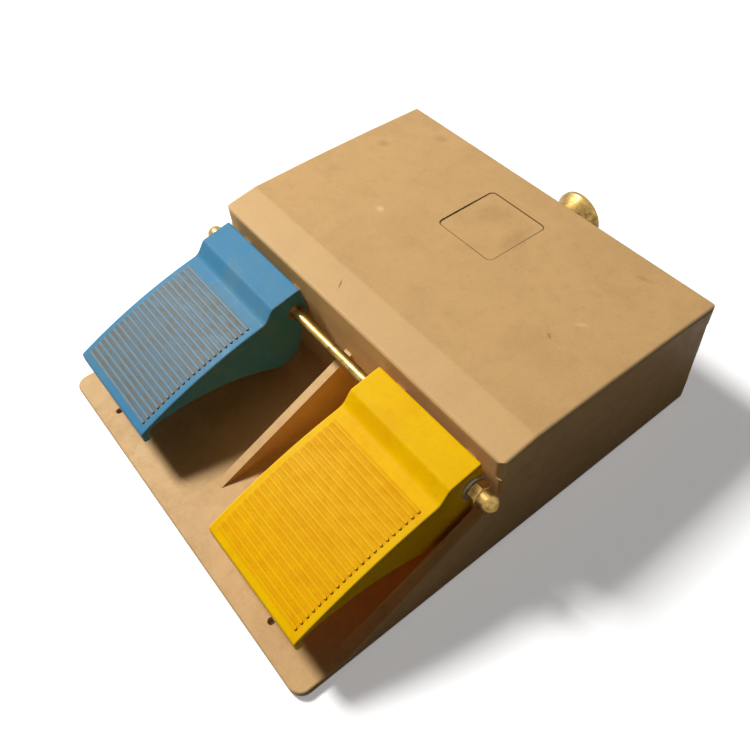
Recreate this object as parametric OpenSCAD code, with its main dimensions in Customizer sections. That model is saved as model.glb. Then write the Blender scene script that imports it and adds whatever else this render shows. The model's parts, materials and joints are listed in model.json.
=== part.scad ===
// Two-pedal foot switch: a cast base with a closed housing, one pivot shaft and two hollow pedals.
// X = 0 and Y = 0 are the middle of its outline on the floor, and Z = 0 is the floor.

/* [Base casting] */
// Width of the floor plate
base_w = 300; // [290:1:320]
// Depth of the floor plate, front to back
base_d = 338; // [325:1:360]
// Thickness of the floor plate
plate_t = 4; // [3.5:0.5:6]
// Radius of the four upright corners
corner_r = 9; // [6:1:12]
// Thickness of the housing walls
wall_t = 6; // [5.5:0.5:7]
// How far each side leans in between the floor and the rim
side_lean = 3.5; // [2:0.5:4.5]
// Distance of the housing's front wall from the front edge
wall_y = 154.5; // [154:0.5:160]
// Height of the housing's rim over the underside
rim_h = 71.5; // [70:0.5:75]
// Thickness of the two side cheeks and of the middle web
cheek_t = 6.5; // [5:0.5:7]
// Distance of the cheeks' front tips from the front edge
cheek_y = 38; // [30:1:50]
// Height of the cheeks where they meet the housing
cheek_h = 53; // [46:1:55]
// Diameter of the two fixing holes in the floor plate
fixing_d = 5; // [4.5:0.5:6.5]
// Distance of the fixing holes from the front edge
fixing_y = 14; // [12:1:18]
// Distance of the fixing holes from the sides of the base
fixing_inset = 48; // [42:1:55]

/* [Lid] */
// How far the lid stands out past the rim at the sides and the back
lid_overhang = 1.2; // [0.5:0.1:2]
// Height of the lid's front edge over the rim
lid_front_h = 17; // [16:0.5:19]
// Height of the crease behind the front bevel, over the rim
lid_crease_h = 20.5; // [19.5:0.5:23]
// Height of the lid's back edge over the rim
lid_back_h = 14.3; // [13.5:0.1:17]
// Depth of the front bevel
lid_bevel_d = 26; // [20:1:32]
// How far the top bows up between the crease and the back edge
lid_bow = 1.1; // [0.8:0.1:3]
// Thickness of the lid's top
lid_t = 4; // [3:0.5:4.5]
// Side of the square recess for a name plate, left bare
recess_w = 53; // [45:1:60]
// Depth of that recess
recess_depth = 0.6; // [0.4:0.1:1]
// Distance of the middle of the recess from the lid's front edge
recess_y = 129; // [115:1:135]

/* [Pedals] */
// Width of each pedal
pedal_w = 93; // [88:0.5:95]
// Gap between each pedal and the cheek beside it
pedal_gap = 3.5; // [2.5:0.5:5]
// Distance of the toe edge from the front edge of the base
toe_y = 13.4; // [12:0.2:17]
// Height of the toe edge over the underside of the base
toe_h = 39; // [38:0.5:42]
// Depth of the turned-down lip under the toe edge
lip_h = 9.5; // [8:0.5:11]
// How far the tread bows up between the toe and the raised block
tread_bow = 3.9; // [3:0.1:5]
// Distance of the foot of the raised block ahead of the shaft's axis
step_ahead = 23.9; // [22:0.1:26]
// Height of the tread at the foot of the raised block
step_h = 70; // [69:0.5:71.5]
// Depth of the raised block's front slope
slope_d = 7.2; // [6:0.2:9]
// Height of the raised block's front edge
block_h = 79.5; // [79:0.5:81]
// Height of the raised block's back edge
back_h = 83.4; // [82.5:0.1:85]
// Thickness of the pedal's top
skin_t = 4; // [3:0.5:4.5]
// Thickness of the pedal's sides
side_t = 6; // [5:0.5:7]
// Number of ribs on each tread
rib_count = 21; // [16:1:24]
// Width of each rib
rib_w = 2.3; // [1.8:0.1:2.8]
// Height of the ribs over the tread
rib_h = 0.9; // [0.6:0.1:1.2]

/* [Pivot shaft] */
// Diameter of the pivot shaft
shaft_d = 8; // [7.5:0.5:9]
// Distance of the shaft's axis in front of the housing's front wall
shaft_ahead = 11.8; // [11.6:0.2:13]
// Height of the shaft's axis over the underside of the base
shaft_h = 65.5; // [64:0.5:66.5]
// Outer diameter of the washers at the shaft's ends
washer_d = 18; // [16:0.5:20]
// Width across the flats of the cap nuts
nut_af = 14; // [13:0.5:15]
// Length of each cap nut, dome and all
nut_l = 18; // [16.5:0.5:20]

/* [Switch gear] */
// Height of the shaft's axis over the plungers' axis
striker_drop = 32; // [30:0.5:34]
// Diameter of the plungers that pass through the front wall
plunger_d = 6; // [5:0.5:7]
// Wire diameter of the return springs
spring_wire = 1.2; // [1:0.1:1.4]
// Number of curls in each return spring
spring_curls = 6; // [4:1:7]

/* [Cable gland] */
// Height of the gland's axis over the underside of the base
gland_h = 41.3; // [38:0.1:46]
// Diameter of the gland's bell mouth
mouth_d = 40; // [36:1:44]
// How far the bell mouth stands out from the back wall
gland_l = 42; // [38:1:46]
// Diameter of the hole in the rubber seal, for the cord
cord_d = 9; // [7:0.5:10.5]

/* [Hidden] */

// Smoothness of small round shapes, and of the long arcs in the pedals
$fn = 64;
wide_fn = 720;
corner_points = 6;

// How far a cut runs past the face it opens
over = 1;
// Room all round a screw in its hole
thread_gap = 0.05;
// Room all round a shaft that turns or slides in its bore
run_gap = 0.04;
// Room between moving pieces that meet end to end
meet_gap = 0.3;
// How deep cast bosses and ribs sink into what they stand on
lap = 1;
// Radius of a nut's chamfered face, as a share of half its width
chamfer_share = 0.95;

// The two pedals stand beside the cheeks, left and right of the middle
rim_half = base_w / 2 - side_lean;
pedal_side_x = rim_half - cheek_t - pedal_gap;
yellow_x = pedal_side_x - pedal_w / 2;
blue_x = -yellow_x;
both_x = [blue_x, yellow_x];
sides = [-1, 1];

// The base casting
foot_d = 22;
foot_stand = 2;
foot_sink = 1.2;
foot_inset = 24;
foot_back_inset = 46;
housing_r = 6;
cavity_r = 4;
floor_z = foot_stand + plate_t;
rim_z = foot_stand + rim_h;

// The columns that take the lid's screws, and those screws
column_d = 14;
column_x = rim_half - wall_t - column_d / 2 + lap;
column_ys = [wall_y + wall_t + column_d / 2 - lap,
    (wall_y + base_d) / 2,
    base_d - wall_t - column_d / 2 + lap];
lid_screw_d = 5;
lid_head_d = 8.5;
lid_head_h = 5;
lid_head_gap = 0.5;
lid_screw_seat = 20;
lid_screw_grip = 9;
lid_tap_depth = 11;

// The gasket in its groove in the rim
gasket_w = 2.2;
gasket_h = 1.5;
gasket_inset = 1.9;
gasket_r = 3;

// The lid
lid_front = wall_y;
lid_back = base_d + lid_overhang;
lid_half = rim_half + lid_overhang;
bow_points = 16;
lid_edge_r = 2.5;
lid_edge_rise = 0.05;
bow_shares = [1 / 6, 1 / 2, 5 / 6];
recess_r = 4;
bow_start = [lid_front + lid_bevel_d, rim_z + lid_crease_h];
bow_end = [lid_back, rim_z + lid_back_h];
bow_chord = norm(bow_end - bow_start);
bow_r = bow_chord * bow_chord / (8 * lid_bow) + lid_bow / 2;
bow_tilt = atan2(bow_end[1] - bow_start[1], bow_end[0] - bow_start[0]);
bow_half = asin(bow_chord / (2 * bow_r));
bow_centre = (bow_start + bow_end) / 2 - (bow_r - lid_bow) * [-sin(bow_tilt), cos(bow_tilt)];
bevel_tilt = atan2(lid_crease_h - lid_front_h, lid_bevel_d);
lid_run = lid_back - lid_front;
function bow_at(share) = let (way = bow_tilt + bow_half * (1 - 2 * share))
    bow_centre + bow_r * [-sin(way), cos(way)];
function bow_z(y) = bow_centre[1] + sqrt(bow_r * bow_r - pow(y - bow_centre[0], 2));

// The pivot shaft and its ends
shaft_y = wall_y - shaft_ahead;
shaft_z = foot_stand + shaft_h;
washer_t = 1.6;
nut_hex_h = 6.5;
nut_dome_share = 0.9;
nut_bore_l = 12;
washer_x = pedal_side_x + meet_gap;
nut_x = washer_x + washer_t;

// The lugs on the front wall that carry the shaft inside the pedals
lug_t = 8;
lug_r = 8.3;
lug_gap = 0.5;
gusset_h = 12;
hub_in = 4;
lug_x = pedal_w / 2 - side_t - hub_in - lug_gap - lug_t;

// The outline of a pedal, in Y and Z
toe = [toe_y, foot_stand + toe_h];
step = [shaft_y - step_ahead, foot_stand + step_h];
block = [step[0] + slope_d, foot_stand + block_h];
back_behind = 6.8;
back = [shaft_y + back_behind, foot_stand + back_h];
back_lip_h = 8;
lip_t = 5;
hub = [shaft_y, shaft_z];
hub_r = 9;
lobe_ahead = 17.2;
lobe_drop = 26.9;
lobe = [shaft_y - lobe_ahead, shaft_z - lobe_drop];
lobe_r = 17;
block_r = 4;
back_r = 1.5;
step_r = 8;
block_corner = rounded(step, block, back, block_r);
back_corner = rounded(block, back, hub + [hub_r, 0], back_r);

// The tread is an arc through the toe and the foot of the block
tread_chord = norm(step - toe);
tread_tilt = atan2(step[1] - toe[1], step[0] - toe[0]);
tread_r = tread_chord * tread_chord / (8 * tread_bow) + tread_bow / 2;
tread_half = asin(tread_chord / (2 * tread_r));
tread_centre = (toe + step) / 2 + (tread_r - tread_bow) * [sin(tread_tilt), -cos(tread_tilt)];
tread_way = [cos(tread_tilt - tread_half), sin(tread_tilt - tread_half)];
block_front = rounded(step - tread_way, step, block, step_r);

// The lower edge is an arc that runs smoothly into the lobe under the shaft
arch_behind = 31.6;
arch_h = 41.5;
arch_top = [toe_y + arch_behind, foot_stand + arch_h];
arch_run = lobe[0] - arch_top[0];
arch_rise = lobe[1] - arch_top[1];
arch_r = (arch_run * arch_run + arch_rise * arch_rise - lobe_r * lobe_r)
    / (2 * (lobe_r - arch_rise));
arch_centre = arch_top - [0, arch_r];
arch_gap = 0.05;
touch = arch_centre + arch_r * (lobe - arch_centre) / norm(lobe - arch_centre);

// The straight back edge touches both the hub and the lobe, and sinks a hair into each
edge_sink = 0.1;
tangent_angle = atan2(lobe_drop, lobe_ahead)
    - acos((lobe_r - hub_r) / norm([lobe_ahead, lobe_drop]));
tangent_way = [cos(tangent_angle), sin(tangent_angle)];

// The ribs on the tread
rib_side_gap = 5.5;
rib_toe_gap = 5.4;
rib_step_gap = 10;
rib_sink = 0.5;
rib_first = -tread_half + (rib_toe_gap + rib_w / 2) / tread_r * 180 / PI;
rib_last = tread_half - (rib_step_gap + rib_w / 2) / tread_r * 180 / PI;

// Bushes, cross bar and striker screw in each pedal
bush_d = 12;
hub_boss_d = 19;
stiffener_t = 3;
stiffener_h = 5;
stiffener_share = 0.22;
bar_ahead = 13;
bar_t = 7;
bar_h = 14;
striker_d = 6;
striker_back = 4;
striker_slot_w = 1.2;
striker_slot_h = 1.5;
striker_nut_af = 10;
striker_nut_h = 4.5;
striker_z = shaft_z - striker_drop;
bar_y = shaft_y - bar_ahead;

// The plungers and what guides them through the wall
head_d = 12;
head_t = 3;
guide_flange_t = 3.5;
guide_flange_af = 19;
guide_d = 14;
guide_in = 11.5;
guide_nut_af = 21;
guide_nut_h = 5;
seal_d = 10;
seal_t = 2.5;
collar_d = 15;
collar_t = 4;
plunger_y = shaft_y + meet_gap;
guide_end_y = wall_y + wall_t + guide_in;
collar_y = guide_end_y + meet_gap;
spring_d = 11;
spring_room = 20;
spring_rings = 8;
spring_sides = 6;

// The switch brackets and the switches
bracket_t = 2;
bracket_y = collar_y + collar_t + spring_room;
bracket_half = 27;
bracket_plate_half = 19;
bracket_plate_h = 44;
bracket_foot_l = 58;
bracket_hole_gap = 0.5;
bracket_boss_d = 9;
bracket_boss_h = 4;
bracket_screw_x = 21;
bracket_screw_y = 34;
small_screw_d = 4;
small_head_d = 7;
small_head_h = 2.8;
small_screw_depth = 3.5;
bracket_top_z = floor_z + bracket_boss_h + bracket_t;
tail_gap = 4;
tail_y = bracket_y + bracket_t + tail_gap;
switch_gap = 5.5;
switch_y = tail_y + switch_gap;
switch_l = 44;
switch_w = 28;
switch_h = 46;
tappet_d = 5;
tappet_l = 20;
tappet_bore_l = 24;
switch_screw_x = 9.5;
switch_screw_inset = 6;
switch_tail_h = 2;

// The terminal block and the earth screw
terminal_n = 6;
terminal_pitch = 10;
terminal_end = 9;
terminal_d = 22;
terminal_h = 20;
terminal_ahead = 48;
terminal_screw_d = 5.5;
terminal_screw_h = 1.5;
terminal_wire_d = 4;
terminal_half = terminal_n * terminal_pitch / 2 + terminal_end;
terminal_y = base_d - terminal_ahead;
terminal_z = floor_z + bracket_boss_h;
earth_x = 62;
earth_ahead = 26;
earth_boss_d = 13;
earth_boss_h = 6;
earth_head_af = 8;
earth_head_h = 3.5;
earth_washer_d = 10;
earth_washer_t = 1;
earth_d = 5;
earth_depth = 5;

// The cable gland, with lengths measured back from the housing's back wall
gland_z = foot_stand + gland_h;
gland_thread_d = 20;
gland_flange_af = 34;
gland_flange_t = 7;
gland_neck_d = 21;
gland_neck_l = 6;
gland_in = 8;
gland_nut_af = 30;
gland_nut_h = 6;
seal_seat_d = 16;
seal_back = 4;
gland_bore_d = 12;
trumpet_root_d = 26;
trumpet_lip = 2.5;
trumpet_mouth_wall = 3;
trumpet_points = 12;
trumpet_start = gland_flange_t + meet_gap;
neck_end = gland_flange_t + gland_neck_l;
flare_start = neck_end + lap;

// The points of an arc that rounds the corner b of an outline, between a and c
function rounded(a, b, c, r) =
    let (u = (a - b) / norm(a - b), v = (c - b) / norm(c - b), half = acos(u * v) / 2,
        middle = b + (u + v) / norm(u + v) * r / sin(half),
        first = b + u * r / tan(half) - middle, last = b + v * r / tan(half) - middle)
    [for (i = [0:corner_points])
        let (spoke = first + (last - first) * i / corner_points)
            middle + r * spoke / norm(spoke)];

// The least distance between points of a spring that lie half a curl or more apart
function least_gap(points) =
    let (half_curl = spring_rings / 2 * spring_sides)
        min([for (i = [0:len(points) - half_curl - 1], j = [i + half_curl:len(points) - 1])
            norm(points[i] - points[j])]);

// Moves a piece, drawn with Y = 0 at the front edge of the base, to its place
module placed() {
    translate([0, -(base_d + gland_l) / 2, 0])
        children();
}

// Extrudes an outline drawn in Y and Z from x0 to x1
module along_x(x0, x1) {
    translate([x0, 0, 0])
        rotate([90, 0, 90])
            linear_extrude(x1 - x0)
                children();
}

// A rod along +X from the point at, and one along +Y
module rod_x(at, d, l) {
    translate(at)
        rotate([0, 90, 0])
            cylinder(d = d, h = l);
}

module rod_y(at, d, l) {
    translate(at)
        rotate([-90, 0, 0])
            cylinder(d = d, h = l);
}

// A hexagonal prism with the given width across its flats
module hex(af, h) {
    cylinder(d = af / cos(30), h = h, $fn = 6);
}

// A hexagon nut's blank, with its corners chamfered at both faces
module nut_blank(af, h) {
    corner_r = af / 2 / cos(30);
    face_r = af / 2 * chamfer_share;
    rise = (corner_r - face_r) * tan(30);
    intersection() {
        hex(af, h);
        rotate_extrude()
            polygon([[0, 0], [face_r, 0], [corner_r, rise], [corner_r, h - rise],
                [face_r, h], [0, h]]);
    }
}

// A ring along +Z
module ring(outer_d, inner_d, h) {
    difference() {
        cylinder(d = outer_d, h = h);
        translate([0, 0, -over])
            cylinder(d = inner_d, h = h + 2 * over);
    }
}

// A rectangle with rounded corners, centred on X, from y0 to y1
module rounded_rect(half, y0, y1, r) {
    translate([-half + r, y0])
        square([2 * (half - r), y1 - y0]);
    translate([-half, y0 + r])
        square([2 * half, y1 - y0 - 2 * r]);
    for (side = sides, y = [y0 + r, y1 - r])
        translate([side * (half - r), y])
            circle(r);
}

// The housing's outline at its rim, drawn in by inset
module rim_outline(inset, r) {
    rounded_rect(rim_half - inset, wall_y + inset, base_d - inset, r);
}

// A groove or a gasket that follows the rim
module rim_ring(h) {
    linear_extrude(h)
        difference() {
            rim_outline(gasket_inset, gasket_r);
            rim_outline(gasket_inset + gasket_w, gasket_r - gasket_w / 2);
        }
}

// A set screw with a flat head and its shank below it, standing on Z = 0
module pan_screw(d, head_d, head_h, depth) {
    cylinder(d = head_d, h = head_h);
    translate([0, 0, -depth])
        cylinder(d = d, h = depth + head_h);
}

// The places of repeated pieces
module at_columns() {
    for (side = sides, y = column_ys)
        translate([side * column_x, y, 0])
            children();
}

module at_feet() {
    for (side = sides, y = [foot_inset, base_d - foot_back_inset])
        translate([side * (base_w / 2 - foot_inset), y, 0])
            children();
}

module at_bracket_screws() {
    for (x = both_x, side = sides)
        translate([x + side * bracket_screw_x, bracket_y + bracket_screw_y, 0])
            children();
}

module at_switch_screws(x) {
    for (side = sides)
        translate([x + side * switch_screw_x,
            switch_y + switch_l / 2 + side * (switch_l / 2 - switch_screw_inset), 0])
            children();
}

module at_terminals() {
    for (i = [0:terminal_n - 1])
        translate([(i - (terminal_n - 1) / 2) * terminal_pitch, terminal_y, 0])
            children();
}

module at_terminal_fixings() {
    for (side = sides)
        translate([side * (terminal_half - terminal_end / 2), terminal_y, 0])
            children();
}

// Turns a shape that stands on Z = 0 to point back along the axis of the gland
module at_gland(y) {
    translate([0, y, gland_z])
        rotate([-90, 0, 0])
            children();
}

// Turns a shape that stands on Z = 0 to point back along a plunger's axis
module at_plunger(x, y) {
    translate([x, y, striker_z])
        rotate([-90, 0, 0])
            children();
}

// The room inside which the whole casting stays, with its leaning sides
module casting_room() {
    intersection() {
        translate([0, 0, foot_stand])
            linear_extrude(rim_h)
                rounded_rect(base_w / 2, 0, base_d, corner_r);
        translate([0, base_d + over, 0])
            rotate([90, 0, 0])
                linear_extrude(base_d + 2 * over)
                    polygon([[-base_w / 2, foot_stand], [base_w / 2, foot_stand],
                        [rim_half, rim_z], [-rim_half, rim_z]]);
    }
}

// The sloping outline that the two cheeks and the web share
module cheek_outline() {
    polygon([[cheek_y, foot_stand], [cheek_y, floor_z], [wall_y, foot_stand + cheek_h],
        [wall_y + wall_t, foot_stand + cheek_h], [wall_y + wall_t, foot_stand]]);
}

module housing_block() {
    translate([0, 0, foot_stand])
        linear_extrude(rim_h)
            rounded_rect(base_w / 2, wall_y, base_d, housing_r);
}

module housing_cavity() {
    translate([0, 0, floor_z])
        linear_extrude(rim_h)
            rounded_rect(rim_half - wall_t, wall_y + wall_t, base_d - wall_t, cavity_r);
}

// One lug on the front wall, with its neck kept under the rim and the gusset under it
module lug_outline() {
    translate(hub)
        circle(lug_r);
    translate([shaft_y, shaft_z - lug_r])
        square([shaft_ahead + lap, rim_z - shaft_z + lug_r]);
    polygon([[shaft_y, shaft_z - lug_r], [wall_y + lap, shaft_z - lug_r],
        [wall_y + lap, shaft_z - lug_r - gusset_h]]);
}

module lugs() {
    for (x = both_x) {
        along_x(x + lug_x, x + lug_x + lug_t)
            lug_outline();
        along_x(x - lug_x - lug_t, x - lug_x)
            lug_outline();
    }
}

module floor_bosses() {
    translate([0, 0, floor_z - lap]) {
        at_bracket_screws()
            cylinder(d = bracket_boss_d, h = bracket_boss_h + lap);
        at_terminal_fixings()
            cylinder(d = bracket_boss_d, h = bracket_boss_h + lap);
        translate([earth_x, base_d - earth_ahead, 0])
            cylinder(d = earth_boss_d, h = earth_boss_h + lap);
    }
}

module casting_holes() {
    for (side = sides)
        translate([side * (base_w / 2 - fixing_inset), fixing_y, foot_stand - over])
            cylinder(d = fixing_d, h = plate_t + 2 * over);
    at_feet()
        translate([0, 0, foot_stand - over])
            cylinder(d = foot_d + 2 * thread_gap, h = foot_sink + over);
    at_columns() {
        translate([0, 0, foot_stand - over])
            cylinder(d = lid_head_d + 2 * lid_head_gap, h = lid_screw_seat + over);
        translate([0, 0, foot_stand])
            cylinder(d = lid_screw_d + 2 * thread_gap, h = rim_h + over);
    }
    translate([0, 0, rim_z - gasket_h])
        rim_ring(gasket_h + over);
    for (x = both_x)
        at_plunger(x, wall_y - over)
            cylinder(d = guide_d + 2 * thread_gap, h = wall_t + 2 * over);
    at_gland(base_d - wall_t - over)
        cylinder(d = gland_thread_d + 2 * thread_gap, h = wall_t + 2 * over);
    rod_x([-washer_x, shaft_y, shaft_z], shaft_d + 2 * run_gap, 2 * washer_x);
    translate([0, 0, floor_z + bracket_boss_h - small_screw_depth])
        at_bracket_screws()
            cylinder(d = small_screw_d + 2 * thread_gap, h = small_screw_depth + over);
    translate([0, 0, terminal_z - small_screw_depth])
        at_terminal_fixings()
            cylinder(d = small_screw_d + 2 * thread_gap, h = small_screw_depth + over);
    translate([earth_x, base_d - earth_ahead, floor_z + earth_boss_h - earth_depth])
        cylinder(d = earth_d + 2 * thread_gap, h = earth_depth + over);
}

module base_casting() {
    color("tan") placed()
        difference() {
            union() {
                difference() {
                    intersection() {
                        casting_room();
                        union() {
                            translate([0, 0, foot_stand])
                                linear_extrude(plate_t)
                                    rounded_rect(base_w / 2, 0, base_d, corner_r);
                            housing_block();
                            along_x(-base_w / 2, -rim_half + cheek_t)
                                cheek_outline();
                            along_x(rim_half - cheek_t, base_w / 2)
                                cheek_outline();
                            along_x(-cheek_t / 2, cheek_t / 2)
                                cheek_outline();
                        }
                    }
                    housing_cavity();
                }
                lugs();
                floor_bosses();
                at_columns()
                    translate([0, 0, floor_z - lap])
                        cylinder(d = column_d, h = rim_z - floor_z + lap);
            }
            casting_holes();
        }
}

module rubber_feet() {
    color("dimgray") placed()
        at_feet()
            cylinder(d = foot_d, h = foot_stand + foot_sink);
}

// The inside of the lid from the side: the bevel and the bow, lowered by the lid's thickness
module lid_inside_outline() {
    translate([0, -lid_t])
        polygon(concat([[lid_front, rim_z], [lid_front, rim_z + lid_front_h]],
            [for (i = [0:bow_points]) bow_at(i / bow_points)],
            [[lid_back, rim_z]]));
}

// The lid from the side with its front and back edges rounded, left open over the bow
module lid_side_outline() {
    front = [lid_front, rim_z + lid_front_h];
    below_front = [lid_front, rim_z];
    back_middle = [lid_back - lid_edge_r, bow_z(lid_back - lid_edge_r) - lid_edge_r + lid_edge_rise];
    polygon(concat([below_front], rounded(below_front, front, bow_start, lid_edge_r),
        [front + lid_run * [cos(bevel_tilt), sin(bevel_tilt)]],
        [for (i = [0:corner_points])
            let (way = 90 * (1 - i / corner_points))
                back_middle + lid_edge_r * [cos(way), sin(way)]],
        [[lid_back, rim_z]]));
}

// A cut across the lid, as deep as the lid is high, with its two upper corners rounded
module lid_across() {
    depth = 2 * lid_crease_h;
    left = [-lid_half, 0];
    right = [lid_half, 0];
    down = [0, -depth];
    polygon(concat([left + down], rounded(left + down, left, right, lid_edge_r),
        rounded(left, right, right + down, lid_edge_r), [right + down]));
}

// What lies under a sloping plane over the lid, through the point at, with its side edges rounded
module under_plane(at, tilt) {
    translate([0, at[0], at[1]])
        rotate([tilt, 0, 0])
            translate([0, lid_run, 0])
                rotate([90, 0, 0])
                    linear_extrude(2 * lid_run)
                        lid_across();
}

// What lies under the plane that touches the bow at a share of its length
module under_bow(share) {
    under_plane(bow_at(share), bow_tilt + bow_half * (1 - 2 * share));
}

module lid_shell() {
    intersection() {
        translate([0, 0, rim_z])
            linear_extrude(lid_crease_h + lid_bow)
                rounded_rect(lid_half, lid_front, lid_back, housing_r);
        along_x(-lid_half, lid_half)
            lid_side_outline();
        under_plane([lid_front, rim_z + lid_front_h], bevel_tilt);
        under_bow(bow_shares[0]);
        under_bow(bow_shares[1]);
        under_bow(bow_shares[2]);
    }
}

module lid_hollow() {
    intersection() {
        translate([0, 0, rim_z - lid_t])
            linear_extrude(lid_crease_h + lid_bow + lid_t)
                rim_outline(wall_t, cavity_r);
        along_x(-lid_half, lid_half)
            lid_inside_outline();
    }
}

module name_plate_recess() {
    share = (recess_y - lid_bevel_d) / (lid_run - lid_bevel_d);
    middle = bow_at(share);
    translate([0, middle[0], middle[1]])
        rotate([bow_tilt, 0, 0])
            translate([0, 0, -recess_depth])
                linear_extrude(recess_depth + over)
                    rounded_rect(recess_w / 2, -recess_w / 2, recess_w / 2, recess_r);
}

module lid() {
    color("tan") placed()
        difference() {
            union() {
                difference() {
                    lid_shell();
                    lid_hollow();
                }
                intersection() {
                    lid_shell();
                    at_columns()
                        translate([0, 0, rim_z])
                            cylinder(d = column_d, h = lid_crease_h + lid_bow);
                }
            }
            at_columns()
                translate([0, 0, rim_z - over])
                    cylinder(d = lid_screw_d + 2 * thread_gap, h = lid_tap_depth + over);
            name_plate_recess();
        }
}

module lid_gasket() {
    color("dimgray") placed()
        translate([0, 0, rim_z - gasket_h])
            rim_ring(gasket_h);
}

module lid_screws() {
    color("silver") placed()
        at_columns()
            translate([0, 0, foot_stand + lid_screw_seat]) {
                translate([0, 0, -lid_head_h])
                    cylinder(d = lid_head_d, h = lid_head_h);
                cylinder(d = lid_screw_d, h = rim_h - lid_screw_seat + lid_screw_grip);
            }
}

// What lies under the tread's arc, lowered by drop, from y0 to y1 and from z0 up
module under_tread(drop, y0, y1, z0) {
    intersection() {
        translate(tread_centre - [0, drop])
            circle(tread_r, $fn = wide_fn);
        translate([y0, z0])
            square([y1 - y0, block[1] - z0]);
    }
}

// The whole side of a pedal: tread, block, hub and lobe, over the long arch
module pedal_side() {
    difference() {
        union() {
            under_tread(0, toe[0], step[0] + lap, touch[1]);
            polygon(concat([lobe, [step[0], lobe[1]]], block_front, block_corner, back_corner,
                [hub + [hub_r - edge_sink, 0],
                    hub + (hub_r - edge_sink) * tangent_way,
                    lobe + (lobe_r - edge_sink) * tangent_way]));
            translate(hub)
                circle(hub_r);
            translate(lobe)
                circle(lobe_r);
        }
        translate(arch_centre)
            circle(arch_r - arch_gap, $fn = wide_fn);
    }
}

// The top of a pedal, cut through: tread, slope, block and a short lip at the back
module pedal_skin() {
    difference() {
        union() {
            under_tread(0, toe[0], step[0] + lap, touch[1]);
            polygon(concat([[step[0], hub[1]]], block_front, block_corner, back_corner,
                [[back[0], back[1] - back_lip_h], [back[0] - skin_t, back[1] - back_lip_h],
                    [back[0] - skin_t, hub[1]]]));
        }
        under_tread(skin_t, toe[0] - over, step[0] + lap + over, touch[1] - over);
        polygon([[step[0] - over, hub[1] - over], step + [-over, -skin_t - over],
            step + [skin_t / 2, -skin_t], block + [skin_t / 2, -skin_t],
            back + [-skin_t, -skin_t], [back[0] - skin_t, hub[1] - over]]);
    }
    translate(toe - [0, lip_h])
        square([lip_t, lip_h]);
}

// One rib from above, with its rounded ends
module rib_outline() {
    reach = pedal_w / 2 - rib_side_gap - rib_w / 2;
    translate([-reach, -rib_w / 2])
        square([2 * reach, rib_w]);
    for (side = sides)
        translate([side * reach, 0])
            circle(d = rib_w);
}

module tread_ribs() {
    for (i = [0:rib_count - 1]) {
        turn = rib_first + (rib_last - rib_first) * i / (rib_count - 1);
        translate([0, tread_centre[0], tread_centre[1]])
            rotate([tread_tilt - turn, 0, 0])
                translate([0, 0, tread_r - rib_sink])
                    linear_extrude(rib_h + rib_sink)
                        rib_outline();
    }
}

module stiffeners() {
    for (side = sides)
        along_x(side * stiffener_share * pedal_w - stiffener_t / 2,
            side * stiffener_share * pedal_w + stiffener_t / 2)
            difference() {
                under_tread(skin_t / 2, toe[0] + lip_t / 2, step[0], touch[1]);
                under_tread(skin_t + stiffener_h, toe[0], step[0] + over, touch[1] - over);
            }
}

module pedal(x) {
    half = pedal_w / 2;
    translate([x, 0, 0])
        difference() {
            union() {
                along_x(-half, half)
                    pedal_skin();
                along_x(-half, -half + side_t)
                    pedal_side();
                along_x(half - side_t, half)
                    pedal_side();
                for (start = [-half, half - side_t - hub_in])
                    rod_x([start, shaft_y, shaft_z], hub_boss_d, side_t + hub_in);
                along_x(-half + side_t - lap, half - side_t + lap)
                    translate([bar_y, striker_z - bar_h / 2])
                        square([bar_t, bar_h]);
                tread_ribs();
                stiffeners();
            }
            rod_x([-half - over, shaft_y, shaft_z], bush_d + 2 * thread_gap, pedal_w + 2 * over);
            rod_y([0, bar_y - over, striker_z], striker_d + 2 * thread_gap, bar_t + 2 * over);
        }
}

module pedal_bushes(x) {
    color("peru") placed()
        for (start = [-pedal_w / 2, pedal_w / 2 - side_t - hub_in])
            translate([x + start, shaft_y, shaft_z])
                rotate([0, 90, 0])
                    ring(bush_d, shaft_d + 2 * run_gap, side_t + hub_in);
}

module striker_screw(x) {
    color("silver") placed()
        difference() {
            union() {
                rod_y([x, bar_y - striker_back, striker_z], striker_d,
                    bar_ahead + striker_back - striker_d / 2);
                translate([x, shaft_y - striker_d / 2, striker_z])
                    sphere(d = striker_d);
            }
            translate([x - striker_d, bar_y - striker_back - over, striker_z - striker_slot_w / 2])
                cube([2 * striker_d, striker_slot_h + over, striker_slot_w]);
        }
}

module striker_nut(x) {
    color("silver") placed()
        at_plunger(x, bar_y + bar_t)
            difference() {
                nut_blank(striker_nut_af, striker_nut_h);
                translate([0, 0, -over])
                    cylinder(d = striker_d + 2 * thread_gap, h = striker_nut_h + 2 * over);
            }
}

module pivot_shaft() {
    end = nut_x + nut_bore_l - meet_gap;
    color("darkkhaki") placed()
        rod_x([-end, shaft_y, shaft_z], shaft_d, 2 * end);
}

module shaft_washers() {
    color("silver") placed()
        for (start = [-nut_x, washer_x])
            translate([start, shaft_y, shaft_z])
                rotate([0, 90, 0])
                    ring(washer_d, shaft_d + 2 * thread_gap, washer_t);
}

// A hexagonal nut that ends in a dome, standing on Z = 0
module cap_nut() {
    dome_d = nut_af * nut_dome_share;
    difference() {
        union() {
            nut_blank(nut_af, nut_hex_h);
            cylinder(d = dome_d, h = nut_l - dome_d / 2);
            translate([0, 0, nut_l - dome_d / 2])
                sphere(d = dome_d);
        }
        translate([0, 0, -over])
            cylinder(d = shaft_d + 2 * thread_gap, h = nut_bore_l + over);
    }
}

module cap_nuts() {
    color("darkkhaki") placed()
        for (side = sides)
            translate([side * nut_x, shaft_y, shaft_z])
                rotate([0, side * 90, 0])
                    cap_nut();
}

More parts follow.
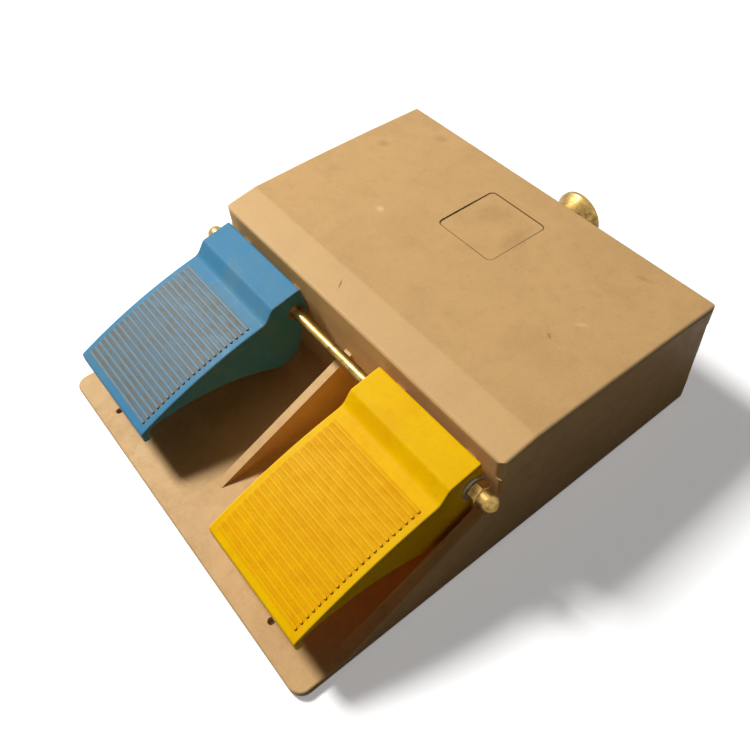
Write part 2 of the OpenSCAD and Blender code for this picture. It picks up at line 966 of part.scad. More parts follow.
module plunger_guides() {
    color("darkkhaki") placed()
        for (x = both_x)
            at_plunger(x, wall_y - guide_flange_t)
                difference() {
                    union() {
                        nut_blank(guide_flange_af, guide_flange_t);
                        cylinder(d = guide_d, h = guide_flange_t + wall_t + guide_in);
                    }
                    translate([0, 0, -over])
                        cylinder(d = plunger_d + 2 * run_gap,
                            h = guide_flange_t + wall_t + guide_in + 2 * over);
                    translate([0, 0, -over])
                        cylinder(d = seal_d + 2 * thread_gap, h = seal_t + over);
                }
}

module plunger_seals() {
    color("dimgray") placed()
        for (x = both_x)
            at_plunger(x, wall_y - guide_flange_t)
                ring(seal_d, plunger_d + 2 * run_gap, seal_t);
}

module guide_locknuts() {
    color("darkkhaki") placed()
        for (x = both_x)
            at_plunger(x, wall_y + wall_t)
                difference() {
                    nut_blank(guide_nut_af, guide_nut_h);
                    translate([0, 0, -over])
                        cylinder(d = guide_d + 2 * thread_gap, h = guide_nut_h + 2 * over);
                }
}

module plunger(x) {
    color("silver") placed()
        at_plunger(x, plunger_y) {
            cylinder(d = head_d, h = head_t);
            cylinder(d = plunger_d, h = tail_y - plunger_y);
        }
}

module plunger_collar(x) {
    color("silver") placed()
        at_plunger(x, collar_y)
            ring(collar_d, plunger_d + 2 * thread_gap, collar_t);
}

// A return spring: one round wire wound into a helix, pointing back along Y
module return_spring(x) {
    rings = spring_curls * spring_rings;
    length = spring_room - 2 * meet_gap;
    mean_r = spring_d / 2;
    wire_r = spring_wire / 2;
    points = [for (i = [0:rings], k = [0:spring_sides - 1])
        let (turn = 360 * i / spring_rings, way = 360 * k / spring_sides,
            r = mean_r + wire_r * cos(way))
            [r * cos(turn), r * sin(turn),
                wire_r + (length - spring_wire) * i / rings + wire_r * sin(way)]];
    walls = [for (i = [0:rings - 1], k = [0:spring_sides - 1])
        let (a = i * spring_sides + k, b = i * spring_sides + (k + 1) % spring_sides)
            [a, a + spring_sides, b + spring_sides, b]];
    first_end = [for (k = [0:spring_sides - 1]) k];
    last_end = [for (k = [spring_sides - 1:-1:0]) rings * spring_sides + k];
    echo(least_gap_between_curls = least_gap(points));
    color("silver") placed()
        at_plunger(x, collar_y + collar_t + meet_gap)
            polyhedron(points, concat(walls, [first_end, last_end]));
}

module switch_bracket(x) {
    color("silver") placed()
        difference() {
            union() {
                translate([x - bracket_plate_half, bracket_y, bracket_top_z - bracket_t])
                    cube([2 * bracket_plate_half, bracket_t, bracket_plate_h]);
                translate([x - bracket_half, bracket_y, bracket_top_z - bracket_t])
                    cube([2 * bracket_half, bracket_foot_l, bracket_t]);
            }
            at_plunger(x, bracket_y - over)
                cylinder(d = plunger_d + 2 * bracket_hole_gap, h = bracket_t + 2 * over);
            translate([0, 0, bracket_top_z - bracket_t - over]) {
                at_bracket_screws()
                    cylinder(d = small_screw_d + 2 * thread_gap, h = bracket_t + 2 * over);
                at_switch_screws(x)
                    cylinder(d = small_screw_d + 2 * thread_gap, h = bracket_t + 2 * over);
            }
        }
}

module bracket_screws() {
    color("silver") placed()
        translate([0, 0, bracket_top_z])
            at_bracket_screws()
                pan_screw(small_screw_d, small_head_d, small_head_h,
                    small_screw_depth + bracket_t - meet_gap);
}

module switch(x) {
    color("dimgray") placed()
        difference() {
            translate([x - switch_w / 2, switch_y, bracket_top_z])
                cube([switch_w, switch_l, switch_h]);
            at_plunger(x, switch_y - over)
                cylinder(d = tappet_d + 2 * run_gap, h = tappet_bore_l + over);
            translate([0, 0, bracket_top_z - over])
                at_switch_screws(x)
                    cylinder(d = small_screw_d + 2 * thread_gap, h = switch_h + 2 * over);
        }
}

module switch_tappet(x) {
    color("white") placed()
        at_plunger(x, tail_y)
            cylinder(d = tappet_d, h = tappet_l);
}

module switch_screws() {
    color("silver") placed()
        for (x = both_x)
            translate([0, 0, bracket_top_z + switch_h])
                at_switch_screws(x)
                    pan_screw(small_screw_d, small_head_d, small_head_h,
                        switch_h + bracket_t + switch_tail_h);
}

module terminal_block() {
    color("wheat") placed()
        difference() {
            translate([-terminal_half, terminal_y - terminal_d / 2, terminal_z])
                cube([2 * terminal_half, terminal_d, terminal_h]);
            at_terminals() {
                translate([0, 0, terminal_z + terminal_h / 2])
                    cylinder(d = terminal_screw_d + 2 * thread_gap, h = terminal_h);
                rod_y([0, -terminal_d, terminal_z + terminal_h / 3], terminal_wire_d,
                    2 * terminal_d);
            }
            at_terminal_fixings()
                translate([0, 0, terminal_z - over])
                    cylinder(d = small_screw_d + 2 * thread_gap, h = terminal_h + 2 * over);
        }
}

module terminal_screws() {
    color("gold") placed()
        at_terminals()
            translate([0, 0, terminal_z + terminal_h / 2])
                cylinder(d = terminal_screw_d, h = terminal_h / 2 - terminal_screw_h);
}

module terminal_block_screws() {
    color("silver") placed()
        translate([0, 0, terminal_z + terminal_h])
            at_terminal_fixings()
                pan_screw(small_screw_d, small_head_d, small_head_h,
                    terminal_h + small_screw_depth - meet_gap);
}

module earth_screw() {
    color("silver") placed()
        translate([earth_x, base_d - earth_ahead, floor_z + earth_boss_h]) {
            cylinder(d = earth_washer_d, h = earth_washer_t);
            hex(earth_head_af, earth_washer_t + earth_head_h);
            translate([0, 0, meet_gap - earth_depth])
                cylinder(d = earth_d, h = earth_depth);
        }
}

module gland_body() {
    color("goldenrod") placed()
        difference() {
            union() {
                at_gland(base_d - wall_t - gland_in)
                    cylinder(d = gland_thread_d, h = wall_t + gland_in + lap);
                at_gland(base_d)
                    nut_blank(gland_flange_af, gland_flange_t);
                at_gland(base_d)
                    cylinder(d = gland_neck_d, h = neck_end);
            }
            at_gland(base_d - wall_t - gland_in - over)
                cylinder(d = gland_bore_d, h = wall_t + gland_in + neck_end + 2 * over);
            at_gland(base_d - seal_back)
                cylinder(d = seal_seat_d + 2 * thread_gap, h = seal_back + neck_end + over);
        }
}

module gland_locknut() {
    color("goldenrod") placed()
        at_gland(base_d - wall_t - gland_nut_h)
            difference() {
                nut_blank(gland_nut_af, gland_nut_h);
                translate([0, 0, -over])
                    cylinder(d = gland_thread_d + 2 * thread_gap, h = gland_nut_h + 2 * over);
            }
}

module gland_seal() {
    color("dimgray") placed()
        at_gland(base_d - seal_back)
            ring(seal_seat_d, cord_d, seal_back + neck_end);
}

// The bell mouth, turned from its outline: a sleeve over the neck, then a flare
module gland_trumpet() {
    root_r = trumpet_root_d / 2;
    mouth_r = mouth_d / 2;
    bore_r = gland_bore_d / 2;
    flare_l = gland_l - trumpet_lip - flare_start;
    neck_r = gland_neck_d / 2 + thread_gap;
    outside = [for (i = [0:trumpet_points])
        let (share = i / trumpet_points)
            [root_r + (mouth_r - root_r) * share * share, flare_start + flare_l * share]];
    inside = [for (i = [trumpet_points:-1:0])
        let (share = i / trumpet_points)
            [bore_r + (mouth_r - trumpet_mouth_wall - bore_r) * share * share,
                flare_start + (flare_l + trumpet_lip) * share]];
    color("goldenrod") placed()
        at_gland(base_d)
            rotate_extrude()
                polygon(concat([[neck_r, trumpet_start], [root_r, trumpet_start]], outside,
                    [[mouth_r, gland_l]], inside, [[bore_r, neck_end], [neck_r, neck_end]]));
}

// The pieces that are there twice, once for each pedal
module blue_pedal() {
    color("steelblue") placed()
        pedal(blue_x);
}

module yellow_pedal() {
    color("gold") placed()
        pedal(yellow_x);
}

module blue_pedal_bushes() {
    pedal_bushes(blue_x);
}

module yellow_pedal_bushes() {
    pedal_bushes(yellow_x);
}

module blue_striker_screw() {
    striker_screw(blue_x);
}

module yellow_striker_screw() {
    striker_screw(yellow_x);
}

module blue_striker_nut() {
    striker_nut(blue_x);
}

module yellow_striker_nut() {
    striker_nut(yellow_x);
}

module blue_plunger() {
    plunger(blue_x);
}

module yellow_plunger() {
    plunger(yellow_x);
}

module blue_plunger_collar() {
    plunger_collar(blue_x);
}

module yellow_plunger_collar() {
    plunger_collar(yellow_x);
}

module blue_return_spring() {
    return_spring(blue_x);
}

module yellow_return_spring() {
    return_spring(yellow_x);
}

module blue_switch_bracket() {
    switch_bracket(blue_x);
}

module yellow_switch_bracket() {
    switch_bracket(yellow_x);
}

module blue_switch() {
    switch(blue_x);
}

module yellow_switch() {
    switch(yellow_x);
}

module blue_switch_tappet() {
    switch_tappet(blue_x);
}

module yellow_switch_tappet() {
    switch_tappet(yellow_x);
}

base_casting();
rubber_feet();
lid();
lid_gasket();
lid_screws();
blue_pedal();
yellow_pedal();
blue_pedal_bushes();
yellow_pedal_bushes();
blue_striker_screw();
yellow_striker_screw();
blue_striker_nut();
yellow_striker_nut();
pivot_shaft();
shaft_washers();
cap_nuts();
plunger_guides();
plunger_seals();
guide_locknuts();
blue_plunger();
yellow_plunger();
blue_plunger_collar();
yellow_plunger_collar();
blue_return_spring();
yellow_return_spring();
blue_switch_bracket();
yellow_switch_bracket();
bracket_screws();
blue_switch();
yellow_switch();
blue_switch_tappet();
yellow_switch_tappet();
switch_screws();
terminal_block();
terminal_screws();
terminal_block_screws();
earth_screw();
gland_body();
gland_locknut();
gland_seal();
gland_trumpet();
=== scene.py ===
"""A two-pedal foot switch, dressed and lit for a picture of its working side.

Everything is in metres, in the frame of the solids: X = 0 and Y = 0 are the middle of the outline
on the floor, the toes point to -Y, and Z = 0 is the floor.
"""
import json
import logging
import math
from dataclasses import dataclass
from enum import Enum
from typing import Callable

import bpy
from mathutils import Matrix, Vector


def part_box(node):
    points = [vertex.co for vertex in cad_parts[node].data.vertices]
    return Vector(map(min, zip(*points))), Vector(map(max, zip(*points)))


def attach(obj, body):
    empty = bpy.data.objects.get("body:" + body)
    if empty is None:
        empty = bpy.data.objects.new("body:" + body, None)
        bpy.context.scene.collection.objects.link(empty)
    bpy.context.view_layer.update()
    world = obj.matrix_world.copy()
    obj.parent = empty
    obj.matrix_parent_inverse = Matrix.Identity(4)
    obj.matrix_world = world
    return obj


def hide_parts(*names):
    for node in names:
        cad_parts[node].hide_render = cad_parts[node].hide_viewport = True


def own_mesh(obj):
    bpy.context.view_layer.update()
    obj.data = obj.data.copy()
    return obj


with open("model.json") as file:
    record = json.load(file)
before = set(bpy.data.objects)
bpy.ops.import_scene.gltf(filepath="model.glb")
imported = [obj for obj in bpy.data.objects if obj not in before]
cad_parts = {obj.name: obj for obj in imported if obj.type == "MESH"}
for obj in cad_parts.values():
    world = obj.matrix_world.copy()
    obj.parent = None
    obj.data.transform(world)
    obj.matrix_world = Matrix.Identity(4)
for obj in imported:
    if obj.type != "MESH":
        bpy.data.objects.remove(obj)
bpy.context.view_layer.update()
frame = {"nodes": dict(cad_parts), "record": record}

MM = 0.001
WHITE = "ffffff"
# Half the distance between the pedals' middles
PEDAL_X = 90.0 * MM
# Metres over which a mask fades in Z, so many that only X and Y count
FLAT = 1000.0
# The part of a noise's values over which a surface goes from its glossiest to its dullest
GLOSS_BAND = (0.3, 0.7)
log = logging.getLogger("foot_switch")


class Surface(Enum):
    """How a metal surface was made, with the depth of its marks in millimetres."""

    CAST = 0.05
    TURNED = 0.012
    PLATED = 0.006


def linear(hex_colour: str) -> tuple[float, float, float, float]:
    """Turns an sRGB hex colour to a linear one.

    Args:
        hex_colour: Six hex digits, such as "d0a86e".

    Returns:
        Red, green, blue and an alpha of one.
    """
    channels = [int(hex_colour[i:i + 2], 16) / 255 for i in (0, 2, 4)]
    red, green, blue = [c / 12.92 if c <= 0.04045 else ((c + 0.055) / 1.055) ** 2.4
                        for c in channels]
    return red, green, blue, 1.0


def put(tree: bpy.types.NodeTree, kind: str, inputs: dict | None = None,
        **settings: object) -> bpy.types.Node:
    """Adds one node with its settings, values and links.

    Args:
        tree: The node tree that gets the node.
        kind: Blender's name for the node.
        inputs: Values or sockets by input name or number.
        settings: Attributes of the node.

    Returns:
        The new node.
    """
    node = tree.nodes.new(kind)
    for name, value in settings.items():
        setattr(node, name, value)
    for key, value in (inputs or {}).items():
        if isinstance(value, bpy.types.NodeSocket):
            tree.links.new(value, node.inputs[key])
        else:
            node.inputs[key].default_value = value
    return node


def blank_material(name: str) -> tuple[bpy.types.Material, bpy.types.NodeTree, bpy.types.Node]:
    """Makes a material with only its output and its shader.

    Args:
        name: The material's name.

    Returns:
        The material, its node tree and its Principled shader.
    """
    material = bpy.data.materials.new(name)
    material.use_nodes = True
    tree = material.node_tree
    tree.nodes.clear()
    shader = put(tree, "ShaderNodeBsdfPrincipled")
    put(tree, "ShaderNodeOutputMaterial", {"Surface": shader.outputs[0]})
    return material, tree, shader


def deselect_all() -> None:
    """Leaves edit mode and selects nothing."""
    if bpy.context.object and bpy.context.object.mode != "OBJECT":
        bpy.ops.object.mode_set(mode="OBJECT")
    bpy.ops.object.select_all(action="DESELECT")


def activate(piece: bpy.types.Object) -> None:
    """Selects one piece alone and makes it active.

    Args:
        piece: The piece.
    """
    deselect_all()
    piece.select_set(True)
    bpy.context.view_layer.objects.active = piece


def dress(piece: bpy.types.Object, material: bpy.types.Material) -> None:
    """Gives a piece one material."""
    piece.data.materials.clear()
    piece.data.materials.append(material)


@dataclass(frozen=True)
class RibField:
    """The ribbed part of a tread, an arc in the side view's Y and Z, in metres.

    The groove band is in rib heights over the arc, and the mask fades out a little under the arc.
    """

    middle_x: float
    toe: tuple[float, float] = (-176.6 * MM, 41.0 * MM)
    step: tuple[float, float] = (-71.2 * MM, 72.0 * MM)
    bow: float = 3.9 * MM
    rib_height: float = 0.9 * MM
    half_width: float = 41.0 * MM
    toe_gap: float = 4.9 * MM
    step_gap: float = 9.6 * MM
    blur: float = 0.7 * MM
    groove_band: tuple[float, float] = (0.15, 0.85)
    buried: tuple[float, float] = (0.6 * MM, 0.2 * MM)

    @property
    def radius(self) -> float:
        """Radius of the tread's arc."""
        chord = math.dist(self.toe, self.step)
        return chord * chord / (8 * self.bow) + self.bow / 2

    @property
    def centre(self) -> tuple[float, float]:
        """Finds the arc's centre.

        Returns:
            Its Y and Z.
        """
        run = self.step[0] - self.toe[0]
        rise = self.step[1] - self.toe[1]
        chord = math.hypot(run, rise)
        depth = self.radius - self.bow
        return ((self.toe[0] + self.step[0]) / 2 + depth * rise / chord,
                (self.toe[1] + self.step[1]) / 2 - depth * run / chord)

    def reach(self, point: Vector) -> float:
        """Distance of a point from the arc's axis."""
        return math.hypot(point.y - self.centre[0], point.z - self.centre[1])


@dataclass(frozen=True)
class Spot:
    """One stain, scuff or dent on the lid, with its place and size in millimetres from above.

    The core is the share of its reach over which it is full.
    """

    place: tuple[float, float]
    size: tuple[float, float]
    tone: str
    share: float
    turn: float = 0.0
    dent: float = 0.0
    core: float = 0.2

    def mask(self, tree: bpy.types.NodeTree, spot: bpy.types.NodeSocket) -> bpy.types.NodeSocket:
        """Finds the spot, one at its middle and zero past its edge.

        Args:
            tree: The material's node tree.
            spot: Object coordinates.

        Returns:
            A socket with the spot's share.
        """
        local = put(tree, "ShaderNodeMapping",
                    {"Vector": spot, "Location": (self.place[0] * MM, self.place[1] * MM, 0.0),
                     "Rotation": (0.0, 0.0, math.radians(self.turn)),
                     "Scale": (self.size[0] * MM, self.size[1] * MM, FLAT)},
                    vector_type="TEXTURE")
        away = put(tree, "ShaderNodeVectorMath", {0: local.outputs[0]}, operation="LENGTH")
        return put(tree, "ShaderNodeMapRange",
                   {0: away.outputs["Value"], 1: self.core, 2: 1.0, 3: 1.0, 4: 0.0},
                   interpolation_type="SMOOTHSTEP").outputs[0]


@dataclass(frozen=True)
class LidWear:
    """What years under boots left on the lid, with painted light: dents laid darker as painted
    shade, scuffs, a bevel paler from rub wear and painted highlight, and a dark line of painted
    shade and grime in the recess.

    Its places and widths are in millimetres.
    """

    recess_middle: tuple[float, float] = (0.0, 93.5)
    recess_half: float = 26.5
    recess_corner: float = 4.0
    # Width, core, share and tone of the recess's dark line: painted shade and grime
    grime_shade_width: float = 0.75
    grime_shade_core: float = 0.35
    grime_shade_share: float = 0.85
    grime_and_shade: str = "4d3820"
    # The front bevel is laid paler: rub wear and painted highlight where it faces the light
    bevel_end: float = -9.5
    bevel_fade: tuple[float, float] = (1.2, 0.6)
    bevel_share: float = 0.45
    rubbed_and_lit: str = "e6bd80"
    spots: tuple[Spot, ...] = (
        # The two dents are laid darker than the paint: painted shade in the dents
        Spot((-123.7, 96.8), (8.0, 5.5), "a07c4e", 0.4, 20.0, 0.35),
        Spot((-99.6, 134.6), (10.0, 6.0), "a07c4e", 0.4, 20.0, 0.35),
        Spot((-64.2, 45.1), (5.5, 4.0), "f0d29b", 0.75),
        Spot((-23.1, -20.7), (0.9, 5.5), "6e5130", 0.85, 35.0),
        Spot((21.3, 95.6), (11.0, 20.0), "b08a5a", 0.5, 10.0),
        Spot((-8.0, 104.0), (20.0, 13.0), "b38d5d", 0.35, 30.0),
        Spot((104.9, 70.6), (7.0, 2.2), "e8cb98", 0.6, 40.0),
        Spot((98.8, 49.0), (4.0, 1.6), "7a5c38", 0.5, -30.0),
        Spot((103.4, 132.1), (9.0, 3.0), "b8925f", 0.6, 15.0))

    def wear(self, tree: bpy.types.NodeTree, spot: bpy.types.NodeSocket,
             colour: bpy.types.NodeSocket, broken: bpy.types.NodeSocket
             ) -> tuple[bpy.types.NodeSocket, bpy.types.NodeSocket]:
        """Lays the lid's own wear over its colour.

        Args:
            tree: The material's node tree.
            spot: Object coordinates.
            colour: The colour under the wear.
            broken: A share that breaks the wear up.

        Returns:
            The worn colour, and the dents' depth in millimetres.
        """
        split = put(tree, "ShaderNodeSeparateXYZ", {0: spot})
        # Paler band along the front bevel: rub wear and painted highlight
        bevel = put(tree, "ShaderNodeMapRange",
                    {0: split.outputs[1], 1: self.bevel_end * MM - self.bevel_fade[0] * MM,
                     2: self.bevel_end * MM + self.bevel_fade[1] * MM,
                     3: self.bevel_share, 4: 0.0})
        layers = [(bevel.outputs[0], self.rubbed_and_lit)]
        depth = None
        for mark in self.spots:
            found = mark.mask(tree, spot)
            share = put(tree, "ShaderNodeMath", {0: found, 1: mark.share}, operation="MULTIPLY")
            layers.append((share.outputs[0], mark.tone))
            if mark.dent:
                depth = put(tree, "ShaderNodeMath",
                            {0: found, 1: mark.dent, 2: depth if depth else 0.0},
                            operation="MULTIPLY_ADD").outputs[0]
        for share, tone in layers:
            share = put(tree, "ShaderNodeMath", {0: share, 1: broken}, operation="MULTIPLY")
            colour = put(tree, "ShaderNodeMix", {0: share.outputs[0], 6: colour, 7: linear(tone)},
                         data_type="RGBA").outputs[2]
        # A dark line along the recess's edge: painted shade and grime
        line = put(tree, "ShaderNodeMix",
                   {0: self.recess_line(tree, spot), 6: colour, 7: linear(self.grime_and_shade)},
                   data_type="RGBA")
        return line.outputs[2], depth

    def recess_line(self, tree: bpy.types.NodeTree, spot: bpy.types.NodeSocket
                    ) -> bpy.types.NodeSocket:
        """Finds the recess's edge, a square with rounded corners, where a dark line of painted
        shade and grime goes.

        Args:
            tree: The material's node tree.
            spot: Object coordinates.

        Returns:
            A socket with the share of that dark line.
        """
        local = put(tree, "ShaderNodeMapping",
                    {"Vector": spot, "Location": (self.recess_middle[0] * MM,
                                                  self.recess_middle[1] * MM, 0.0),
                     "Scale": (MM, MM, FLAT)}, vector_type="TEXTURE")
        folded = put(tree, "ShaderNodeVectorMath", {0: local.outputs[0]}, operation="ABSOLUTE")
        straight = self.recess_half - self.recess_corner
        past = put(tree, "ShaderNodeVectorMath", {0: folded.outputs[0], 1: (straight,) * 3},
                   operation="SUBTRACT")
        past = put(tree, "ShaderNodeVectorMath", {0: past.outputs[0], 1: (0.0,) * 3},
                   operation="MAXIMUM")
        reach = put(tree, "ShaderNodeVectorMath", {0: past.outputs[0]}, operation="LENGTH")
        away = put(tree, "ShaderNodeMath", {0: reach.outputs["Value"], 1: self.recess_corner},
                   operation="SUBTRACT")
        away = put(tree, "ShaderNodeMath", {0: away.outputs[0]}, operation="ABSOLUTE")
        return put(tree, "ShaderNodeMapRange",
                   {0: away.outputs[0], 1: self.grime_shade_core * self.grime_shade_width,
                    2: self.grime_shade_width, 3: self.grime_shade_share, 4: 0.0}).outputs[0]


@dataclass(frozen=True)
class Enamel:
    """Stoving enamel over sand-cast aluminium: a soft grain, handling stains and small chips.

    Each band is the part of a noise's values over which that mark goes from none to its full share.
    """

    name: str
    clean: str
    stained: str
    # Dirt in specks, and dirt and painted shade in the rib grooves
    grime_and_shade: str
    chipped: str
    stain_mm: float = 45.0
    streak_mm: float = 9.0
    grit_mm: float = 1.1
    stain_share: float = 0.45
    roughness: float = 0.48
    grit_depth_mm: float = 0.06
    chip_mm: float = 26.0
    chip_limit: float = 0.79
    chip_fade: float = 0.012
    chip_depth: float = 2.0
    stain_band: tuple[float, float] = (0.44, 0.68)
    streak_band: tuple[float, float] = (0.5, 0.8)
    streak_share: float = 0.5
    speck_band: tuple[float, float] = (0.58, 0.8)
    speck_share: float = 0.35
    patchy_band: tuple[float, float] = (0.3, 0.62)
    patchy_least: float = 0.45
    arris_band: tuple[float, float] = (0.07, 0.2)
    rub_and_highlight_share: float = 0.55
    sheen: float = 0.2
    ior: float = 1.5
    gloss_spread: tuple[float, float] = (0.07, 0.12)
    tread_share: float = 0.45
    groove_shade_share: float = 0.85
    # Paler tone of the arrises: rub wear and painted highlight
    rubbed_and_lit: str = "e9cc9c"
    trodden: str = "b08a5a"
    ribs: RibField | None = None
    lid_wear: LidWear | None = None

    def rubbed_and_lit_edges(self, tree: bpy.types.NodeTree) -> bpy.types.NodeSocket:
        """Finds the rounded arrises, which face between two of the object's own directions.

        Args:
            tree: The material's node tree.

        Returns:
            A socket that is one on an arris and zero on flat faces.
        """
        facing = put(tree, "ShaderNodeTexCoord").outputs["Normal"]
        split = put(tree, "ShaderNodeSeparateXYZ", {0: facing})
        square = put(tree, "ShaderNodeMath", {0: split.outputs[0], 1: split.outputs[0]},
                     operation="MULTIPLY")
        rest = put(tree, "ShaderNodeMath", {0: 1.0, 1: square.outputs[0]}, operation="SUBTRACT")
        both = put(tree, "ShaderNodeMath", {0: square.outputs[0], 1: rest.outputs[0]},
                   operation="MULTIPLY")
        return put(tree, "ShaderNodeMapRange",
                   {0: both.outputs[0], 1: self.arris_band[0], 2: self.arris_band[1],
                    3: 0.0, 4: 1.0}).outputs[0]

    def groove_masks(self, tree: bpy.types.NodeTree, spot: bpy.types.NodeSocket
                     ) -> tuple[bpy.types.NodeSocket, bpy.types.NodeSocket]:
        """Finds the ribbed field, and the grooves between its ribs, where dirt and painted shade
        go.

        Args:
            tree: The material's node tree.
            spot: Object coordinates.

        Returns:
            A socket that is one in the field, and one that is one in the grooves.
        """
        ribs = self.ribs
        split = put(tree, "ShaderNodeSeparateXYZ", {0: spot})
        side = put(tree, "ShaderNodeMath", {0: split.outputs[0], 1: ribs.middle_x},
                   operation="SUBTRACT")
        side = put(tree, "ShaderNodeMath", {0: side.outputs[0]}, operation="ABSOLUTE")
        within = put(tree, "ShaderNodeMapRange",
                     {0: side.outputs[0], 1: ribs.half_width, 2: ribs.half_width + ribs.blur,
                      3: 1.0, 4: 0.0})
        start = ribs.toe[0] + ribs.toe_gap
        end = ribs.step[0] - ribs.step_gap
        front = put(tree, "ShaderNodeMapRange",
                    {0: split.outputs[1], 1: start - ribs.blur, 2: start, 3: 0.0, 4: 1.0})
        back = put(tree, "ShaderNodeMapRange",
                   {0: split.outputs[1], 1: end, 2: end + ribs.blur, 3: 1.0, 4: 0.0})
        arm = put(tree, "ShaderNodeVectorMath", {0: spot, 1: (0.0, *ribs.centre)},
                  operation="SUBTRACT")
        flat = put(tree, "ShaderNodeVectorMath", {0: arm.outputs[0], 1: (0.0, 1.0, 1.0)},
                   operation="MULTIPLY")
        reach = put(tree, "ShaderNodeVectorMath", {0: flat.outputs[0]}, operation="LENGTH")
        low = put(tree, "ShaderNodeMapRange",
                  {0: reach.outputs["Value"],
                   1: ribs.radius + ribs.groove_band[0] * ribs.rib_height,
                   2: ribs.radius + ribs.groove_band[1] * ribs.rib_height, 3: 1.0, 4: 0.0})
        above = put(tree, "ShaderNodeMapRange",
                    {0: reach.outputs["Value"], 1: ribs.radius - ribs.buried[0],
                     2: ribs.radius - ribs.buried[1], 3: 0.0, 4: 1.0})
        field = within
        for edge in (front, back, above):
            field = put(tree, "ShaderNodeMath", {0: field.outputs[0], 1: edge.outputs[0]},
                        operation="MULTIPLY")
        shaded_grooves = put(tree, "ShaderNodeMath", {0: field.outputs[0], 1: low.outputs[0]},
                      operation="MULTIPLY")
        return field.outputs[0], shaded_grooves.outputs[0]

    def build(self) -> bpy.types.Material:
        """Makes the material.

        Returns:
            The enamel.
        """
        material, tree, shader = blank_material(self.name)
        spot = put(tree, "ShaderNodeTexCoord").outputs["Object"]
        stain = put(tree, "ShaderNodeTexNoise",
                    {"Vector": spot, "Scale": 1 / (self.stain_mm * MM), "Detail": 6.0,
                     "Roughness": 0.62, "Distortion": 0.6})
        stained = put(tree, "ShaderNodeMapRange",
                      {0: stain.outputs[0], 1: self.stain_band[0], 2: self.stain_band[1],
                       3: 0.0, 4: self.stain_share})
        streak = put(tree, "ShaderNodeTexNoise",
                     {"Vector": spot, "Scale": 1 / (self.streak_mm * MM), "Detail": 5.0,
                      "Roughness": 0.7, "Distortion": 0.3})
        streaked = put(tree, "ShaderNodeMapRange",
                       {0: streak.outputs[0], 1: self.streak_band[0], 2: self.streak_band[1],
                        3: 0.0, 4: self.streak_share})
        grit = put(tree, "ShaderNodeTexNoise",
                   {"Vector": spot, "Scale": 1 / (self.grit_mm * MM), "Detail": 2.0})
        chip = put(tree, "ShaderNodeTexNoise",
                   {"Vector": spot, "Scale": 1 / (self.chip_mm * MM), "Detail": 9.0,
                    "Roughness": 0.75})
        chipped = put(tree, "ShaderNodeMapRange",
                      {0: chip.outputs[0], 1: self.chip_limit,
                       2: self.chip_limit + self.chip_fade})
        colour = put(tree, "ShaderNodeMix",
                     {0: stained.outputs[0], 6: linear(self.clean), 7: linear(self.stained)},
                     data_type="RGBA")
        colour = put(tree, "ShaderNodeMix",
                     {0: streaked.outputs[0], 6: colour.outputs[2], 7: linear(self.stained)},
                     data_type="RGBA")
        speck = put(tree, "ShaderNodeMapRange",
                    {0: grit.outputs[0], 1: self.speck_band[0], 2: self.speck_band[1],
                     3: 0.0, 4: self.speck_share})
        colour = put(tree, "ShaderNodeMix",
                     {0: speck.outputs[0], 6: colour.outputs[2], 7: linear(self.grime_and_shade)},
                     data_type="RGBA")
        patchy = put(tree, "ShaderNodeMapRange",
                     {0: streak.outputs[0], 1: self.patchy_band[0], 2: self.patchy_band[1],
                      3: self.patchy_least, 4: 1.0})
        # Arrises go paler: rub wear and painted highlight
        worn_and_lit = put(tree, "ShaderNodeMath",
                   {0: self.rubbed_and_lit_edges(tree), 1: patchy.outputs[0]}, operation="MULTIPLY")
        worn_and_lit = put(tree, "ShaderNodeMath", {0: worn_and_lit.outputs[0], 1: self.rub_and_highlight_share},
                   operation="MULTIPLY")
        colour = put(tree, "ShaderNodeMix",
                     {0: worn_and_lit.outputs[0], 6: colour.outputs[2], 7: linear(self.rubbed_and_lit)},
                     data_type="RGBA")
        if self.ribs:
            field, shaded_grooves = self.groove_masks(tree, spot)
            # Tread dust over the field; in the grooves, dirt and painted shade
            for mask, tone, most in ((field, self.trodden, self.tread_share),
                                     (shaded_grooves, self.grime_and_shade, self.groove_shade_share)):
                share = put(tree, "ShaderNodeMath", {0: mask, 1: patchy.outputs[0]},
                            operation="MULTIPLY")
                share = put(tree, "ShaderNodeMath", {0: share.outputs[0], 1: most},
                            operation="MULTIPLY")
                colour = put(tree, "ShaderNodeMix",
                             {0: share.outputs[0], 6: colour.outputs[2], 7: linear(tone)},
                             data_type="RGBA")
        colour = put(tree, "ShaderNodeMix",
                     {0: chipped.outputs[0], 6: colour.outputs[2], 7: linear(self.chipped)},
                     data_type="RGBA")
        gloss = put(tree, "ShaderNodeMapRange",
                    {0: streak.outputs[0], 1: GLOSS_BAND[0], 2: GLOSS_BAND[1],
                     3: self.roughness - self.gloss_spread[0],
                     4: self.roughness + self.gloss_spread[1]})
        final = colour.outputs[2]
        height = put(tree, "ShaderNodeMath",
                     {0: chipped.outputs[0], 1: -self.chip_depth, 2: grit.outputs[0]},
                     operation="MULTIPLY_ADD")
        if self.lid_wear:
            final, dents = self.lid_wear.wear(tree, spot, final, patchy.outputs[0])
            height = put(tree, "ShaderNodeMath",
                         {0: dents, 1: -1 / self.grit_depth_mm, 2: height.outputs[0]},
                         operation="MULTIPLY_ADD")
        bump = put(tree, "ShaderNodeBump",
                   {"Height": height.outputs[0], "Distance": self.grit_depth_mm * MM,
                    "Strength": 1.0})
        tree.links.new(final, shader.inputs["Base Color"])
        tree.links.new(gloss.outputs[0], shader.inputs["Roughness"])
        tree.links.new(bump.outputs[0], shader.inputs["Normal"])
        shader.inputs["IOR"].default_value = self.ior
        shader.inputs["Specular IOR Level"].default_value = self.sheen
        return material


